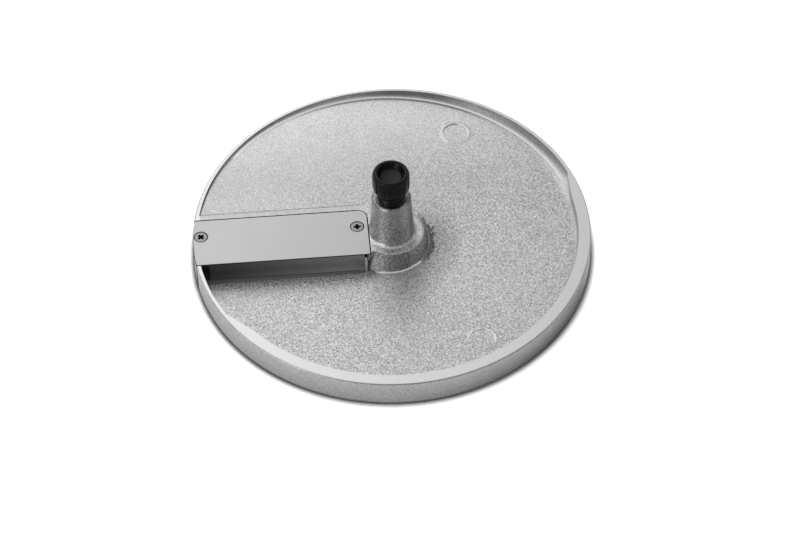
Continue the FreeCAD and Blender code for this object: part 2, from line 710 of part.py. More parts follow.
def make_stud():
    """Threaded stud that holds the knob in the post; its thread isn't cut."""
    body = new_body("knob_stud")
    outline = new_sketch(body, "stud_outline", "XY_Plane", lift="dim.post_height - dim.stud_in_post")
    draw_circle(outline, "dim.stud_radius")
    pad(body, "shank", outline, "dim.stud_in_post + dim.stud_in_knob - dim.stud_clearance")
    return body


nodes = [make_casting(), make_blade(), make_screws(), make_knob(), make_stud()]
doc.recompute()

failed = [o.Name for o in doc.Objects if "Invalid" in o.State or "Error" in o.State]
if failed:
    raise RuntimeError("failed objects: " + ", ".join(failed))

os.makedirs("parts", exist_ok=True)
for node in nodes:
    if node.Shape.isNull() or not node.Shape.isValid():
        raise RuntimeError("bad shape: " + node.Label)
    solids = len(node.Shape.Solids)
    print(node.Label, "solids", solids, "volume mm3", round(node.Shape.Volume, 1))
    node.Shape.exportStep("parts/%s.step" % node.Label)
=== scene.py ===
import math

import bmesh
import bpy
from bpy.props import FloatProperty, FloatVectorProperty, IntProperty, PointerProperty
from mathutils import Euler, Matrix, Vector


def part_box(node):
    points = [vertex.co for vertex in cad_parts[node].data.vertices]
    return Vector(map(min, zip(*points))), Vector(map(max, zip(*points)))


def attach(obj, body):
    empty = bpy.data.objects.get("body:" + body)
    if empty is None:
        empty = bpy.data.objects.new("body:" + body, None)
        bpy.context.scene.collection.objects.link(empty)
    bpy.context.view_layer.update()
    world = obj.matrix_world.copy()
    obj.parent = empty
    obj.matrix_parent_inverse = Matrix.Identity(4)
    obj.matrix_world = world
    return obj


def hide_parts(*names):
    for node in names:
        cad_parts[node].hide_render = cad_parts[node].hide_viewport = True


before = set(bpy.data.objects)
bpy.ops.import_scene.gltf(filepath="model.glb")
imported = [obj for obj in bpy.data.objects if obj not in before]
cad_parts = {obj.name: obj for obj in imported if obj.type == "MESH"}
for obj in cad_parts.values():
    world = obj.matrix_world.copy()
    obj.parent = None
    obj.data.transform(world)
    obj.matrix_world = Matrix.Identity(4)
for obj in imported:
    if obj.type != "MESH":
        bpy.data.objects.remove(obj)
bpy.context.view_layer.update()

bl_info = {
    "name": "Slicing Disc Dressing",
    "version": (1, 0, 0),
    "blender": (4, 5, 0),
    "location": "3D View > Sidebar > Slicing Disc",
    "description": "Finishes, knob, screws, light and camera for a cast slicing disc",
    "category": "Object",
}

BODY = "root"
MM = 0.001
RIM_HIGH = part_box("disc_casting")[1]
BLADE_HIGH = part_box("blade")[1]
KNOB_LOW, KNOB_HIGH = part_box("knob")
SCREWS_LOW, SCREWS_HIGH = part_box("blade_screws")

# Sizes of the solids, in millimetres, which the finishes use to find a face
RIM_RADIUS = RIM_HIGH.x / MM
RIM_TOP = BLADE_HIGH.z / MM
RIM_LAND = 6.3
BLADE_HALF = BLADE_HIGH.y / MM
BLADE_INNER = BLADE_HIGH.x / MM
BLADE_THICK = 2.0
BLADE_BEVEL = 4.0
BLADE_GAP = 0.45
SCREW_HEAD = (SCREWS_HIGH.y - SCREWS_LOW.y) / 2 / MM
SCREW_SIDE = (SCREWS_HIGH.y + SCREWS_LOW.y) / 2 / MM
SCREW_PLACES = (SCREWS_LOW.x / MM + SCREW_HEAD, SCREWS_HIGH.x / MM - SCREW_HEAD)
HUB_TOP_RADIUS = 16.3
HUB_SLOPE = math.tan(math.radians(22.0))
POST_FOOT = 13.0
POST_TOP = KNOB_LOW.z / MM
KNOB_FOOT = 7.2
LIP_WIDTH = 3.6
LIP_LAND = 3.0
LIP_SLOPE = 0.88
SLOT_WALL = -13.8
SLOT_EDGE = -18.8
SLOT_INNER = -15.0
SLOT_OUTER = -94.4
# Angle of each pin mark, and the painted light and shade on its raised edge: how much brighter its
# right and its left side are than the skin
PIN_MARKS = ((60.4, 0.6, -0.35), (-60.0, 1.3, 0.35))
# Range in which nearly all of a noise lies
NOISE_RANGE = (0.3, 0.7)


class NodeSheet:
    """A node tree with short calls for the nodes that the finishes share."""

    def __init__(self, tree):
        self.nodes = tree.nodes
        self.links = tree.links

    def add(self, kind, **settings):
        node = self.nodes.new(kind)
        for name, value in settings.items():
            setattr(node, name, value)
        return node

    def feed(self, socket, value):
        """Link a socket to another one, or set it to a number."""
        if isinstance(value, bpy.types.NodeSocket):
            self.links.new(value, socket)
        else:
            socket.default_value = value

    def math(self, operation, first, second=0.0):
        node = self.add("ShaderNodeMath", operation=operation)
        self.feed(node.inputs[0], first)
        self.feed(node.inputs[1], second)
        return node.outputs[0]

    def times(self, first, *others):
        for other in others:
            first = self.math("MULTIPLY", first, other)
        return first

    def plus(self, first, *others):
        for other in others:
            first = self.math("ADD", first, other)
        return first

    def less(self, first, second):
        return self.math("SUBTRACT", first, second)

    def most(self, first, second):
        return self.math("MAXIMUM", first, second)

    def rest(self, share):
        return self.less(1.0, share)

    def distance(self, across, along):
        return self.math("SQRT", self.plus(self.times(across, across), self.times(along, along)))

    def turn(self, across, along):
        """Angle in degrees about the origin."""
        return self.times(self.math("ARCTAN2", along, across), math.degrees(1))

    def ramp(self, value, low, high, start=0.0, end=1.0, smooth=False):
        """Value carried from low..high to start..end, and held there outside."""
        node = self.add("ShaderNodeMapRange", clamp=True)
        if smooth:
            node.interpolation_type = "SMOOTHSTEP"
        for name, number in (("Value", value), ("From Min", low), ("From Max", high),
                             ("To Min", start), ("To Max", end)):
            self.feed(node.inputs[name], number)
        return node.outputs["Result"]

    def fall(self, value, low, high):
        """1 below low and 0 above high."""
        return self.ramp(value, low, high, 1.0, 0.0)

    def between(self, value, low, high, soft=0.05):
        """1 from low to high and 0 outside, with soft ends."""
        return self.times(self.ramp(value, low - soft, low + soft),
                          self.fall(value, high - soft, high + soft))

    def within(self, mask, share):
        """Share where a mask is 1, and 1 where it is 0."""
        return self.ramp(mask, 0, 1, 1.0, share)

    def vary(self, noise, low, high):
        """A noise carried to low..high."""
        return self.ramp(noise, *NOISE_RANGE, low, high)

    def blend(self, factor, first, second):
        node = self.add("ShaderNodeMix", data_type="FLOAT")
        for socket, value in zip((node.inputs[0], node.inputs[2], node.inputs[3]),
                                 (factor, first, second)):
            self.feed(socket, value)
        return node.outputs[0]

    def grey(self, value):
        """Neutral colour of a brightness."""
        node = self.add("ShaderNodeCombineColor")
        for socket in node.inputs[:3]:
            self.feed(socket, value)
        return node.outputs[0]

    def cells(self, vector, scale):
        """Cells that each have their own random brightness."""
        node = self.add("ShaderNodeTexVoronoi")
        self.feed(node.inputs["Vector"], vector)
        self.feed(node.inputs["Scale"], scale)
        parts = self.add("ShaderNodeSeparateColor")
        self.feed(parts.inputs[0], node.outputs["Color"])
        return parts.outputs[0]

    def noise(self, vector, scale, detail=2.0, roughness=0.6):
        node = self.add("ShaderNodeTexNoise")
        for name, value in (("Vector", vector), ("Scale", scale), ("Detail", detail),
                            ("Roughness", roughness)):
            self.feed(node.inputs[name], value)
        return node.outputs["Fac"]

    def group(self, tree, **values):
        node = self.add("ShaderNodeGroup", node_tree=tree)
        for name, value in values.items():
            self.feed(node.inputs[name], value)
        return node.outputs

    def place(self):
        """Outputs of the group that gives the place on the disc."""
        return self.group(disc_place_group())

    def surface(self, tone, roughness, height=None, depth=0.0, metallic=1.0):
        """Join a brightness, a roughness and a relief of some depth to the shader."""
        shader = self.nodes["Principled BSDF"]
        self.feed(shader.inputs["Base Color"], self.grey(tone))
        self.feed(shader.inputs["Roughness"], roughness)
        shader.inputs["Metallic"].default_value = metallic
        if height is not None:
            bump = self.add("ShaderNodeBump")
            self.feed(bump.inputs["Height"], height)
            bump.inputs["Distance"].default_value = depth
            self.feed(shader.inputs["Normal"], bump.outputs[0])
        return shader


def new_group(name, inputs, outputs):
    """Shader group with float inputs, its sheet, its input node and its output node."""
    tree = bpy.data.node_groups.new(name, "ShaderNodeTree")
    for label in inputs:
        tree.interface.new_socket(label, in_out="INPUT", socket_type="NodeSocketFloat")
    for label, kind in outputs:
        tree.interface.new_socket(label, in_out="OUTPUT", socket_type="NodeSocket" + kind)
    sheet = NodeSheet(tree)
    return tree, sheet, sheet.add("NodeGroupInput"), sheet.add("NodeGroupOutput")


def disc_place_group():
    """Place on the disc in millimetres, its radius and its angle in degrees about the axis."""
    known = bpy.data.node_groups.get("Disc place")
    if known:
        return known
    tree, sheet, _, out = new_group("Disc place", (), (
        ("Point", "Vector"), ("Radius", "Float"), ("Across", "Float"), ("Along", "Float"),
        ("Height", "Float"), ("Angle", "Float")))
    scaled = sheet.add("ShaderNodeVectorMath", operation="SCALE")
    sheet.feed(scaled.inputs[0], sheet.add("ShaderNodeTexCoord").outputs["Object"])
    scaled.inputs["Scale"].default_value = 1 / MM
    parts = sheet.add("ShaderNodeSeparateXYZ")
    sheet.feed(parts.inputs[0], scaled.outputs[0])
    across, along, height = parts.outputs
    for name, value in (("Point", scaled.outputs[0]), ("Radius", sheet.distance(across, along)),
                        ("Across", across), ("Along", along), ("Height", height),
                        ("Angle", sheet.turn(across, along))):
        sheet.feed(out.inputs[name], value)
    return tree


def cast_grain_group():
    """Tone and relief of a cast skin: random grains on soft clouds."""
    tree, sheet, entry, out = new_group("Cast grain", ("Grain", "Spread"), (
        ("Tone", "Float"), ("Relief", "Float")))
    point = sheet.place()["Point"]
    scale = sheet.math("DIVIDE", 1.0, entry.outputs["Grain"])
    grain = sheet.less(sheet.cells(point, scale), 0.5)
    cloud = sheet.vary(sheet.noise(point, 0.06, 3.0), 0.97, 1.03)
    tone = sheet.plus(1.0, sheet.times(grain, 2.0, entry.outputs["Spread"]))
    sheet.feed(out.inputs["Tone"], sheet.times(tone, cloud))
    sheet.feed(out.inputs["Relief"], sheet.noise(point, sheet.times(scale, 0.6), 1.0))
    return tree


def new_finish(name, slot_node=None):
    """Material and its sheet; all slots of a CAD node take it."""
    material = bpy.data.materials.new(name)
    material.use_nodes = True
    if slot_node:
        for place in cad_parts[slot_node].material_slots:
            place.material = material
    return material, NodeSheet(material.node_tree)


def as_mesh(shape, name):
    """Mesh of a bmesh, which is freed."""
    mesh = bpy.data.meshes.new(name)
    shape.to_mesh(mesh)
    shape.free()
    return mesh


def new_object(name, data):
    """Object of a mesh, a lamp or a camera in the scene."""
    thing = bpy.data.objects.new(name, data)
    bpy.context.scene.collection.objects.link(thing)
    return thing


def aim(thing, place, target, roll=0.0):
    """Put a lamp or a camera in its place and turn it towards a target."""
    thing.location = place
    thing.rotation_mode = "QUATERNION"
    gaze = (Vector(target) - thing.location).to_track_quat("-Z", "Y")
    thing.rotation_quaternion = gaze @ Euler((0, 0, roll)).to_quaternion()


def add_piece(shape, name, material, sharp=50.0):
    """Smooth object of a finished bmesh on the disc, with sharp edges where it bends more."""
    bmesh.ops.recalc_face_normals(shape, faces=shape.faces)
    for face in shape.faces:
        face.smooth = True
    for edge in shape.edges:
        edge.smooth = edge.calc_face_angle(0.0) <= math.radians(sharp)
    piece = new_object(name, as_mesh(shape, name))
    piece.data.materials.append(material)
    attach(piece, BODY)
    return piece


def border(shape):
    """Edges of a bmesh that have a face on one side only."""
    return [edge for edge in shape.edges if edge.is_boundary]


def turned(section, steps):
    """Bmesh of a line of radii and heights, spun once about the axis."""
    shape = bmesh.new()
    corners = [shape.verts.new((radius, 0, height)) for radius, height in section]
    edges = [shape.edges.new(pair) for pair in zip(corners, corners[1:])]
    bmesh.ops.spin(shape, geom=corners + edges, axis=(0, 0, 1), cent=(0, 0, 0),
                   angle=2 * math.pi, steps=steps, use_merge=True)
    return shape


def polar(radius, turn, height=0.0):
    """Point at a radius, a turn in radians about the axis and a height."""
    return Vector((radius * math.cos(turn), radius * math.sin(turn), height))


def deck_height(radius, angle):
    """Height in metres of the casting at a radius in mm and an angle in degrees."""
    above = polar(radius * MM, math.radians(angle), RIM_TOP * MM * 4)
    hit, place, _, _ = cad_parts["disc_casting"].ray_cast(above, Vector((0, 0, -1)))
    if not hit:
        raise RuntimeError("no deck at radius %g and angle %g" % (radius, angle))
    return place.z


class CastingFinish(bpy.types.PropertyGroup):
    """Cast skin and machined faces of the disc."""
    skin: FloatProperty(
        name="Cast skin", default=0.57, min=0, max=1,
        description="Brightness of the rough cast skin")
    spread_low: FloatProperty(
        name="Spread at the back", default=0.36, min=0, max=1,
        description="How much the grains differ where the skin is fine")
    spread_high: FloatProperty(
        name="Spread at the front", default=0.78, min=0, max=1,
        description="How much the grains differ where the skin is coarse")
    machined: FloatProperty(
        name="Machined face", default=0.70, min=0, max=1,
        description="Brightness of the rim's turned top")
    slot_wall: FloatProperty(
        name="Slot wall", default=0.50, min=0, max=1,
        description="Brightness of the smooth wall under the blade")
    # Brightness of the painted shade in gaps, in the seat under the blade and at the slot's outer
    # end
    shadowed: FloatProperty(
        name="Crevices", default=0.03, min=0, max=1,
        description="Brightness of gaps and of the seat under the blade")
    grain: FloatProperty(
        name="Grain size", default=0.28 * MM, unit="LENGTH",
        description="Size of one grain of the cast skin")
    grain_depth: FloatProperty(
        name="Grain depth", default=0.05 * MM, unit="LENGTH",
        description="Depth of the cast grain")
    skin_roughness: FloatProperty(
        name="Skin roughness", default=0.42, min=0, max=1,
        description="Roughness of the cast skin")
    hub_roughness: FloatProperty(
        name="Hub roughness", default=0.30, min=0, max=1,
        description="Roughness of the hub, which is worn shiny")


class BladeFinish(bpy.types.PropertyGroup):
    """Satin face of the blade and its screws."""
    blade: FloatProperty(
        name="Blade", default=0.50, min=0, max=1,
        description="Brightness of the blade's satin face")
    blade_roughness: FloatProperty(
        name="Blade roughness", default=0.38, min=0, max=1,
        description="Roughness of the blade's satin face")
    # Brightness of the painted shade on the blade's sides and countersinks
    side_shade: FloatProperty(
        name="Side shade", default=0.06, min=0, max=1,
        description="Brightness of the blade's sides and countersinks")
    screws: FloatProperty(
        name="Screws", default=0.34, min=0, max=1,
        description="Brightness of the screws")


class ScrewForm(bpy.types.PropertyGroup):
    """Sizes of the two countersunk screws."""
    flat_radius: FloatProperty(
        name="Flat radius", default=2.95 * MM, unit="LENGTH",
        description="Radius of the flat face of the head")
    shank_radius: FloatProperty(
        name="Shank radius", default=1.95 * MM, unit="LENGTH",
        description="Radius of the shank")
    recess_reach: FloatProperty(
        name="Recess reach", default=1.85 * MM, unit="LENGTH",
        description="Reach of each arm of the cross recess")
    recess_width: FloatProperty(
        name="Recess width", default=1.4 * MM, unit="LENGTH",
        description="Width of each arm of the cross recess")
    recess_depth: FloatProperty(
        name="Recess depth", default=1.7 * MM, unit="LENGTH",
        description="Depth of the cross recess")


class KnobForm(bpy.types.PropertyGroup):
    """Sizes of the moulded knob."""
    head_radius: FloatProperty(
        name="Head radius", default=9.5 * MM, unit="LENGTH",
        description="Radius of the fluted head")
    neck_radius: FloatProperty(
        name="Neck radius", default=5.9 * MM, unit="LENGTH",
        description="Radius of the neck under the head")
    foot_radius: FloatProperty(
        name="Foot radius", default=KNOB_FOOT * MM, unit="LENGTH",
        description="Radius of the flared foot")
    head_start: FloatProperty(
        name="Head start", default=5.6 * MM, unit="LENGTH",
        description="Height of the head's underside over the post")
    dish_radius: FloatProperty(
        name="Dish radius", default=7.0 * MM, unit="LENGTH",
        description="Radius of the dish's mouth")
    dish_floor: FloatProperty(
        name="Dish floor", default=5.2 * MM, unit="LENGTH",
        description="Radius of the dish's floor")
    dish_depth: FloatProperty(
        name="Dish depth", default=3.4 * MM, unit="LENGTH",
        description="Depth of the dish")
    flutes: IntProperty(
        name="Flutes", default=12, min=3,
        description="Number of grooves round the head")
    flute_depth: FloatProperty(
        name="Flute depth", default=0.55 * MM, unit="LENGTH",
        description="Depth of each groove")
    black: FloatProperty(
        name="Black", default=0.0035, min=0, max=1,
        description="Brightness of the black plastic")


class CastDetails(bpy.types.PropertyGroup):
    """Sizes of the small cast forms on the deck."""
    # Brightness of the raised edges, a painted highlight
    edge: FloatProperty(
        name="Edge highlight", default=0.91, min=0, max=1,
        description="Brightness of the painted highlight on the raised edges")
    ledge_rise: FloatProperty(
        name="Ledge rise", default=0.35 * MM, unit="LENGTH",
        description="Height of the ledge at the foot of the rim's wall")
    ledge_span: FloatVectorProperty(
        name="Ledge span", size=2, default=(6.0, 152.0),
        description="Angles of the ledge's ends in degrees")
    bead_radius: FloatProperty(
        name="Bead radius", default=0.7 * MM, unit="LENGTH",
        description="Radius of the bead at the foot of the hub")
    bead_span: FloatVectorProperty(
        name="Bead span", size=2, default=(-126.0, -40.0),
        description="Angles of the bead's ends in degrees")
    pin_radius: FloatProperty(
        name="Pin mark radius", default=6.4 * MM, unit="LENGTH",
        description="Radius of the round marks that ejector pins leave")
    pin_ring: FloatProperty(
        name="Pin mark ring", default=80.0 * MM, unit="LENGTH",
        description="Distance of the pin marks from the axis")
    pin_rise: FloatProperty(
        name="Pin mark rise", default=0.3 * MM, unit="LENGTH",
        description="Height of the edge round a pin mark")


class StudioSet(bpy.types.PropertyGroup):
    """Camera, lamps, floor and backdrop."""
    camera_place: FloatVectorProperty(
        name="Camera", subtype="TRANSLATION", default=(-74.285 * MM, -1095.292 * MM, 1243.521 * MM),
        description="Place of the camera")
    camera_aim: FloatVectorProperty(
        name="Aim", subtype="TRANSLATION", default=(2.625 * MM, -18.87 * MM, 7.2 * MM),
        description="Point at the middle of the view")
    camera_roll: FloatProperty(
        name="Roll", default=math.radians(-0.784), subtype="ANGLE",
        description="Turn of the camera about its own axis")
    lens: FloatProperty(name="Lens", default=144.0, description="Focal length in millimetres")
    key_power: FloatProperty(
        name="Key", default=1.6, unit="POWER",
        description="Power of the large soft lamp at the back")
    side_power: FloatProperty(
        name="Side", default=1.2, unit="POWER",
        description="Power of the soft lamp at the left")
    sky: FloatProperty(name="Sky", default=0.66, description="Brightness of the light tent")
    front: FloatProperty(
        name="Front", default=0.25,
        description="Brightness of the open front of the light tent")
    floor: FloatProperty(name="Floor", default=0.8, description="Brightness of the floor")
    floor_seen: FloatProperty(
        name="Floor in view", default=3.0,
        description="Brightness of the floor as the camera sees it")
    # Brightness of the painted shade on the floor under the disc
    floor_covered: FloatProperty(
        name="Floor under the disc", default=0.3,
        description="Brightness of the floor seen through the slot")
    floor_mirrored: FloatProperty(
        name="Floor in metal", default=1.0,
        description="Brightness of the floor as the metal shows it")
    contact: FloatProperty(
        name="Contact shadow", default=4.7 * MM, unit="LENGTH",
        description="Reach of the dark shadow where the rim meets the floor")


class DISC_OT_finish_casting(bpy.types.Operator):
    """Give the casting its sparkling cast skin, its turned rim and painted light and shade"""
    bl_idname = "disc.finish_casting"
    bl_label = "Finish the casting"

    # Each face against the plain skin: its brightness, which on every face but the hub is painted
    # light and shade, how much its grains differ, its relief
    # Painted light: wall_foot, slot_shore, slot_lit, hub_left, post_light, root_line and far;
    # painted shade: crevice, hub_shade, cone_left, cone_front, collar_right, ledge_line, post_top,
    # post_edge and lip_line
    TONES = (("wall_foot", 1.5), ("crevice", 0.35), ("hub_shade", 0.6), ("slot_shore", 1.04),
             ("slot_lit", 1.3), ("hub", 1.02), ("hub_left", 1.8), ("cone_left", 0.55),
             ("cone_front", 0.62), ("collar_right", 0.8), ("ledge_line", 0.5),
             ("post_top", 0.5), ("post_light", 1.4), ("root_line", 1.9), ("post_edge", 0.55),
             ("far", 1.25), ("lip_line", 0.62))
    SPREADS = (("slot_shore", 1.7), ("hub_left", 1.6), ("outside", 0.4), ("lip", 0.5),
               ("wall_foot", 0.25))
    RELIEFS = (("rim", "slot_wall", 0.1), ("hub", "slot_shore", 1.8), ("outside", "outside", 0.5))
    # Brightness of the web's ridge, a painted highlight
    WEB = 0.95
    # Where painted shade darkens the slot's wall towards its outer end, and how bright it is there
    SLOT_FADE, SLOT_FADE_SHARE = (-85.0, -25.0), 0.35
    RIM_ROUGHNESS = 0.34
    # The skin is coarser towards the front and the right: weights of the place, and their range
    COARSE_ACROSS, COARSE_ALONG, COARSE_RANGE = 0.45, -0.9, (-60.0, 5.0)
    # Sectors in degrees about the axis where light and shade are painted: start, stop and softness
    # of the ends
    SECTORS = {
        "crevice": (-42.0, 38.0, 8.0), "hub_shade": (-72.0, 28.0, 25.0),
        "hub_left": (-127.0, -107.0, 7.0), "root_line": (-178.0, -98.0, 10.0),
        "cone_left": (-185.0, -112.0, 6.0), "cone_front": (-99.0, -62.0, 10.0),
        "collar_right": (-70.0, 75.0, 15.0), "post_light": (-66.0, -44.0, 7.0),
        "post_edge": (-35.0, 10.0, 6.0), "ledge_line": (56.0, 112.0, 8.0),
        "wall_foot": (-15.0, 28.0, 12.0), "run_out": (-20.0, 14.0, 4.0),
    }
    # Bands in mm about the axis where light and shade are painted: start, stop and softness of the
    # ends
    COLLAR, ROOT, LEDGE = (12.0, 15.9, 0.2), (11.5, 13.4, 0.1), (94.9, 96.6, 0.3)
    # How far the ledge's band moves out for each degree, in mm
    LEDGE_TURN = 0.018
    # How dark the painted shade on the rim's inner wall is, and where: start, stop, softness and
    # strength
    WALL_DARK = 0.25
    DARK_SECTORS = ((20.0, 66.0, 10.0, 1.0), (66.0, 92.0, 6.0, 1.7),
                    (118.0, 148.0, 12.0, 1.9), (152.0, 170.0, 5.0, 2.4))
    # Strength of the painted shade on the rim's inner wall in the run_out sector
    RUN_OUT_STRENGTH = 0.6
    # Height in mm on the outer wall above which its painted light grows and below which it fades
    WALL_MIDDLE = 7.0
    WEB_ALONG = (-16.8, -15.2, 0.1)
    # Sides of a pin mark's edge, about the mark, where its painted light and shade fall
    PIN_RIGHT = (-15.0, 72.0, 8.0)
    PIN_LEFT = (85.0, 165.0, 8.0)

    def execute(self, context):
        values = context.scene.disc_casting
        _, sheet = new_finish("cast_aluminium_skin", "disc_casting")
        place = dict(sheet.place().items())
        # Height over and depth under the rim's top, and the side where the blade and slot lie
        place["Over"] = sheet.less(place["Height"], RIM_TOP)
        place["Depth"] = sheet.most(sheet.times(place["Over"], -1.0), 0.0)
        place["Left"] = sheet.fall(place["Across"], SLOT_INNER, SLOT_INNER + 0.2)
        sector = {name: sheet.between(place["Angle"], *span)
                  for name, span in self.SECTORS.items()}
        masks = {**self.hub_faces(sheet, place, sector), **self.rim_faces(sheet, place, sector),
                 **self.slot_faces(sheet, place)}

        coarse = sheet.ramp(sheet.plus(sheet.times(place["Across"], self.COARSE_ACROSS),
                                       sheet.times(place["Along"], self.COARSE_ALONG)),
                            *self.COARSE_RANGE)
        spread = sheet.blend(coarse, values.spread_low, values.spread_high)
        for face, share in self.SPREADS:
            spread = sheet.times(spread, sheet.within(masks[face], share))
        grain = sheet.group(cast_grain_group(), Grain=values.grain / MM, Spread=spread)

        tone = sheet.times(grain["Tone"], values.skin)
        # Painted light and shade of each face, then painted shade on the rim's inner wall, painted
        # light and shade on the outer wall and round the pin marks
        for face, share in self.TONES:
            tone = sheet.times(tone, sheet.within(masks[face], share))
        tone = sheet.times(tone, sheet.rest(sheet.times(masks["wall_dark"], self.WALL_DARK)),
                           sheet.blend(masks["outside"], 1.0, masks["side_light"]),
                           self.pin_tone(context, sheet, place))
        # The slot's wall, with painted shade towards its outer end
        wall = sheet.ramp(place["Across"], *self.SLOT_FADE,
                          values.slot_wall * self.SLOT_FADE_SHARE, values.slot_wall)
        # Faces of their own brightness: the machined rim and the slot's wall, with the web's
        # painted highlight and the painted shade in the gap
        for face, plain in (("rim", values.machined), ("slot_wall", wall), ("web", self.WEB),
                            ("gap", values.shadowed)):
            tone = sheet.blend(masks[face], tone, plain)

        roughness = sheet.blend(masks["hub"], values.skin_roughness, values.hub_roughness)
        roughness = sheet.blend(masks["rim"], roughness, self.RIM_ROUGHNESS)
        relief = grain["Relief"]
        for first, second, share in self.RELIEFS:
            either = sheet.most(masks[first], masks[second])
            relief = sheet.times(relief, sheet.within(either, share))
        sheet.surface(tone, roughness, relief, values.grain_depth)
        return {"FINISHED"}

    def pin_tone(self, context, sheet, place):
        """Tone round the pin marks, whose raised edge gets painted light and shade on its two
        sides.
        """
        form = context.scene.disc_details
        ring, edge = form.pin_ring / MM, form.pin_radius / MM
        tone = 1.0
        for angle, right, left in PIN_MARKS:
            middle = polar(ring, math.radians(angle))
            off = sheet.less(place["Across"], middle.x)
            up = sheet.less(place["Along"], middle.y)
            on_edge = sheet.between(sheet.distance(off, up), edge - 0.1, edge + 0.8, 0.1)
            aim = sheet.turn(off, up)
            side = sheet.plus(1.0, sheet.times(sheet.between(aim, *self.PIN_RIGHT), right),
                              sheet.times(sheet.between(aim, *self.PIN_LEFT), left))
            tone = sheet.times(tone, sheet.blend(on_edge, 1.0, side))
        return tone

    def hub_faces(self, sheet, place, sector):
        """Masks on the hub, its post and the deck round it: the hub's own face, and painted light
        and shade.
        """
        times, between, ramp, fall = sheet.times, sheet.between, sheet.ramp, sheet.fall
        radius, over = place["Radius"], place["Over"]
        slope = times(place["Depth"], HUB_SLOPE)
        from_hub = sheet.less(radius, sheet.plus(slope, HUB_TOP_RADIUS))
        hub, deck = fall(from_hub, 0.1, 0.3), ramp(from_hub, 0.1, 0.3)
        cone = times(hub, fall(over, -0.6, -0.2))
        post = times(fall(radius, POST_FOOT - 0.5, POST_FOOT + 0.5), ramp(over, 0.5, 2.5))
        collar = times(between(radius, *self.COLLAR), between(over, -0.5, 1.0, 0.1))
        root = times(between(radius, *self.ROOT), between(over, 0.1, 0.9, 0.1))
        # Painted shade along a ragged line at the hub's foot
        ragged = sheet.vary(sheet.noise(place["Point"], 0.45), 0.9, 4.8)
        crevice = times(ramp(from_hub, 0.05, 0.15), fall(sheet.less(from_hub, ragged), -0.3, 0.3))
        masks = {
            "hub": hub,
            # Painted shade on the post's top round the knob's foot
            "post_top": times(ramp(place["Height"], POST_TOP - 1.2, POST_TOP - 0.6),
                              ramp(radius, KNOB_FOOT - 0.2, KNOB_FOOT + 0.1)),
        }
        # Painted light on hub_left, post_light and root_line; painted shade on crevice, hub_shade,
        # cone_left, cone_front, collar_right and post_edge
        for name, mask in (
                ("crevice", crevice), ("hub_shade", times(deck, fall(from_hub, 5.0, 20.0))),
                ("hub_left", times(hub, ramp(over, 0.2, 1.6, 0.4, 1.0))),
                ("cone_left", cone), ("cone_front", cone), ("collar_right", collar),
                ("root_line", root), ("post_light", post), ("post_edge", post)):
            masks[name] = times(mask, sector[name])
        return masks

    def rim_faces(self, sheet, place, sector):
        """Masks on the rim, its walls, the ledge inside it and the lip behind the blade, most of
        them for painted light and shade.
        """
        times, between, ramp, fall = sheet.times, sheet.between, sheet.ramp, sheet.fall
        radius, along, height = place["Radius"], place["Along"], place["Height"]
        angle, over, left = place["Angle"], place["Over"], place["Left"]
        top = ramp(over, -0.25, -0.05)
        below = sheet.rest(top)
        lip_end = BLADE_HALF + LIP_WIDTH
        behind_blade = times(left, between(along, BLADE_HALF - 0.2, lip_end + 0.2))
        rim_start = ramp(behind_blade, 0, 1, RIM_RADIUS - RIM_LAND - 0.2, RIM_RADIUS - LIP_LAND)
        slant = sheet.less(along, times(place["Depth"], LIP_SLOPE))
        # Painted shade on the rim's inner wall, in sectors
        dark = sheet.plus(*(times(between(angle, *span), strength)
                            for *span, strength in self.DARK_SECTORS))
        run_out = times(ramp(radius, 95.0, 95.2), ramp(height, 9.0, 9.4), sector["run_out"],
                        self.RUN_OUT_STRENGTH)
        # Painted light that grows up the outer wall at the front
        upwards = times(sheet.less(height, self.WALL_MIDDLE),
                        ramp(angle, -90.0, -50.0, 0.01, 0.06), fall(angle, -30.0, 0.0))
        ledge = sheet.less(radius, times(angle, self.LEDGE_TURN))
        # Painted shade: lip_line, ledge_line and wall_dark; painted light and shade: side_light on
        # the outer wall; painted light: far at the back and wall_foot at the foot of the wall
        return {
            "rim": times(top, sheet.math("GREATER_THAN", radius, rim_start)),
            "lip": times(top, behind_blade),
            "lip_line": times(left, below, between(slant, lip_end - 2.0, lip_end + 0.7, 0.2)),
            "outside": ramp(radius, RIM_RADIUS - 0.3, RIM_RADIUS - 0.1),
            "side_light": times(
                ramp(angle, -90.0, -30.0, 1.2, 0.76), ramp(height, 0.3, 1.3, 0.4, 1.0),
                ramp(angle, -25.0, -8.0, 1.0, 1.9), sheet.plus(1.0, upwards)),
            "far": ramp(along, 40.0, 85.0),
            "ledge_line": times(between(ledge, *self.LEDGE), sector["ledge_line"]),
            "wall_dark": times(
                below, sheet.most(times(ramp(radius, 99.5, 99.7), dark), run_out)),
            "wall_foot": times(
                ramp(radius, 93.0, 96.0), sector["wall_foot"], fall(over, -4.0, -2.0)),
        }

